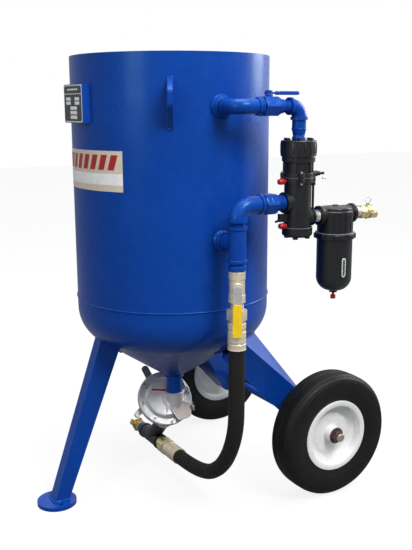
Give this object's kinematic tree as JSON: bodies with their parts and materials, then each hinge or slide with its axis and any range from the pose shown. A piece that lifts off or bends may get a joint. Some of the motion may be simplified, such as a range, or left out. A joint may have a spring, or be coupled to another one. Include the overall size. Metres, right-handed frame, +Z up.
{
  "type": "portable abrasive blast pot",
  "caption": "Wheeled pressure vessel for abrasive blasting, with an air valve, moisture filter, ball valves, metering valve, hose and a coned bottom on one leg and two wheels.",
  "frame": {"origin": "on the vessel's vertical axis at floor level", "axes": "+Z up along the vessel's axis, -Y towards the single front leg, +Y towards the wheels, +X towards the valves and the filter"},
  "size_m": [0.871, 1.051, 1.369],
  "materials": {
    "blue_paint": "gloss",
    "white_paint": "gloss",
    "black_paint": "satin",
    "bare_steel": "satin",
    "zinc_steel": "satin",
    "cast_alloy": "satin",
    "brass": "satin",
    "black_rubber": "matte",
    "tyre_rubber": "matte",
    "black_plastic": "matte",
    "red_plastic": "satin",
    "yellow_plastic": "satin",
    "grey_paint": "satin"
  },
  "bodies": {
    "pot": {"tank_shell": "blue_paint", "lower_head": "blue_paint", "upper_head": "blue_paint", "filler_ring": "blue_paint", "seat_seal": "black_rubber", "popup_guide": "blue_paint", "tank_couplings": "blue_paint", "hand_hole_frame": "blue_paint", "hand_hole_cover": "blue_paint", "lifting_lugs": "blue_paint", "nameplate_bracket": "blue_paint", "front_leg": "blue_paint", "foot_plate": "blue_paint", "rear_leg_right": "blue_paint", "rear_leg_left": "blue_paint", "axle": "blue_paint", "hub_bushes": "brass", "axle_fasteners": "bare_steel", "pipe_elbows": "blue_paint", "blue_nipples": "blue_paint", "upper_valve_body": "blue_paint", "pipe_unions": "blue_paint", "air_valve_cap": "black_paint", "air_valve_bonnet": "black_paint", "air_valve_body": "black_paint", "air_valve_base": "black_paint", "air_valve_bolts": "bare_steel", "signal_fitting": "black_paint", "red_plugs": "red_plastic", "lower_tee": "blue_paint", "lower_valve_body": "bare_steel", "hose_ferrules": "zinc_steel", "air_hose": "black_rubber", "pusher_wye": "black_paint", "filter_head": "black_paint", "filter_bowl": "black_paint", "filter_clamp": "black_paint", "filter_element": "black_plastic", "steel_nipples": "bare_steel", "inlet_coupling": "brass", "outlet_coupling": "brass", "metering_front": "cast_alloy", "metering_back": "cast_alloy", "metering_cover": "cast_alloy", "metering_bolts": "bare_steel"},
    "wheel_right": {"wheel_rim_right": "white_paint", "tyre_right": "tyre_rubber"},
    "wheel_left": {"wheel_rim_left": "white_paint", "tyre_left": "tyre_rubber"},
    "upper_lever": {"upper_valve_lever": "blue_paint", "upper_valve_ball": "bare_steel"},
    "lower_lever": {"lower_valve_lever": "zinc_steel", "lever_sleeve": "yellow_plastic", "lower_valve_ball": "bare_steel"},
    "popup": {"popup_valve": "black_rubber"},
    "metering": {"metering_disc": "bare_steel", "metering_lever": "grey_paint"},
    "drain": {"drain_cock": "red_plastic"},
    "air_piston": {"air_valve_piston": "cast_alloy"}
  },
  "joints": [
    {"name": "wheel_right_spin", "type": "hinge", "parent": "pot", "child": "wheel_right", "pos_m": [0.357, 0.369, 0.199], "axis": [1, 0, 0], "continuous": true},
    {"name": "wheel_left_spin", "type": "hinge", "parent": "pot", "child": "wheel_left", "pos_m": [-0.357, 0.369, 0.199], "axis": [1, 0, 0], "continuous": true},
    {"name": "charge_lever_turn", "type": "hinge", "parent": "pot", "child": "upper_lever", "pos_m": [0.39, 0.101, 1.221], "axis": [0, 0, 1], "range_deg": [-90, 0]},
    {"name": "pusher_lever_turn", "type": "hinge", "parent": "pot", "child": "lower_lever", "pos_m": [0.39, 0, 0.725], "axis": [0.866, -0.5, 0], "range_deg": [0, 90]},
    {"name": "popup_lift", "type": "slide", "parent": "pot", "child": "popup", "axis": [0, 0, 1], "range_m": [0, 0.024]},
    {"name": "metering_turn", "type": "hinge", "parent": "pot", "child": "metering", "pos_m": [-0.021, -0.025, 0.263], "axis": [0.8164, -0.144, 0.5592], "range_deg": [0, 72]},
    {"name": "drain_turn", "type": "hinge", "parent": "pot", "child": "drain", "pos_m": [0.39, 0.345, 0.66], "axis": [0, 0, 1], "range_deg": [-270, 0]},
    {"name": "air_valve_shift", "type": "slide", "parent": "pot", "child": "air_piston", "axis": [0, 0, 1], "range_m": [-0.018, 0]}
  ]
}
